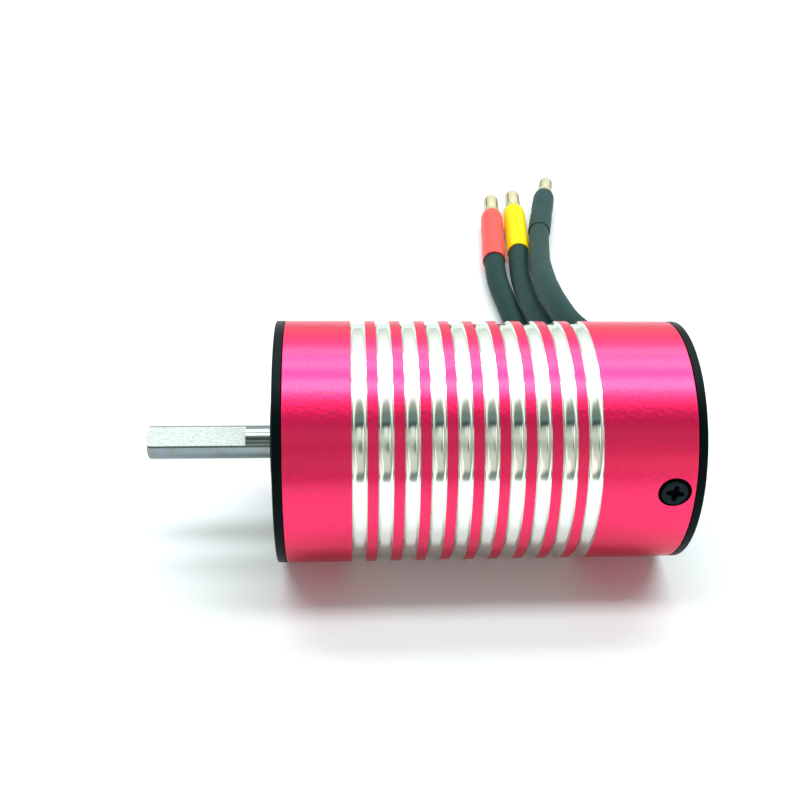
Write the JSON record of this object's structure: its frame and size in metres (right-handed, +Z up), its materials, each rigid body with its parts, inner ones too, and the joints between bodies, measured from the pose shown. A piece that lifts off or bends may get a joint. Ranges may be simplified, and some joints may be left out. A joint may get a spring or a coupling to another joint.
{
  "type": "brushless motor",
  "caption": "Cylindrical brushless motor with a grooved anodised can, black endbells, a D-flat output shaft and three leads with bullet plugs.",
  "frame": {"origin": "on the surface the motor lies on, straight below its axis, midway between the shaft's tip and the rear face", "axes": "+X along the shaft from the output end to the rear face, +Z up, +Y towards the leads"},
  "size_m": [0.082, 0.1429, 0.0358],
  "materials": {
    "anodised_can": "satin pink anodising over a blasted surface, grooves turned bright",
    "black_endbell": "satin black anodising",
    "black_screw": "black oxide",
    "ground_steel": "ground",
    "bearing_steel": "polished",
    "lamination": "stamped, varnished",
    "slot_paper": "moulded",
    "copper": "enamelled copper wire",
    "magnet": "nickel plated sintered magnet",
    "banding": "wound fibre in resin",
    "turned_brass": "turned",
    "silicone": "matt silicone insulation",
    "grommet_rubber": "moulded",
    "sleeve_red": "shrunk tube",
    "sleeve_yellow": "shrunk tube",
    "sleeve_black": "shrunk tube",
    "gold_plate": "thin gold plating"
  },
  "bodies": {
    "housing": {"can": "anodised_can", "front_endbell": "black_endbell", "rear_endbell": "black_endbell", "rear_screw_1": "black_screw", "rear_screw_2": "black_screw", "rear_screw_3": "black_screw", "lead_grommet": "grommet_rubber", "stator_core": "lamination", "front_insulator": "slot_paper", "rear_insulator": "slot_paper", "coil_a1": "copper", "coil_a2": "copper", "coil_b1": "copper", "coil_b2": "copper", "coil_c1": "copper", "coil_c2": "copper", "front_bearing_outer_ring": "bearing_steel", "front_bearing_outer_shield": "bearing_steel", "front_bearing_inner_shield": "bearing_steel", "rear_bearing_outer_ring": "bearing_steel", "rear_bearing_outer_shield": "bearing_steel", "rear_bearing_inner_shield": "bearing_steel", "wave_washer": "bearing_steel", "lead_a": "silicone", "lead_b": "silicone", "lead_c": "silicone", "sleeve_red": "sleeve_red", "sleeve_yellow": "sleeve_yellow", "sleeve_black": "sleeve_black", "bullet_a": "gold_plate", "bullet_b": "gold_plate", "bullet_c": "gold_plate"},
    "rotor": {"shaft": "ground_steel", "rotor_core": "lamination", "magnet_1": "magnet", "magnet_2": "magnet", "magnet_3": "magnet", "magnet_4": "magnet", "magnet_band": "banding", "front_balance_ring": "turned_brass", "rear_balance_ring": "turned_brass", "front_spacer": "turned_brass", "rear_spacer": "turned_brass", "front_bearing_inner_ring": "bearing_steel", "rear_bearing_inner_ring": "bearing_steel"},
    "front_balls": {"front_bearing_cage": "bearing_steel"},
    "rear_balls": {"rear_bearing_cage": "bearing_steel"}
  },
  "joints": [
    {"name": "rotor_spin", "type": "hinge", "parent": "housing", "child": "rotor", "pos_m": [0, 0, 0.01791], "axis": [1, 0, 0], "continuous": true},
    {"name": "front_cage_spin", "type": "hinge", "parent": "housing", "child": "front_balls", "pos_m": [-0.0167, 0, 0.01791], "axis": [1, 0, 0], "continuous": true},
    {"name": "rear_cage_spin", "type": "hinge", "parent": "housing", "child": "rear_balls", "pos_m": [0.035, 0, 0.01791], "axis": [1, 0, 0], "continuous": true}
  ],
  "couplings": [
    {"joint": "front_cage_spin", "follows": "rotor_spin", "ratio": 0.3889},
    {"joint": "rear_cage_spin", "follows": "rotor_spin", "ratio": 0.3889}
  ]
}
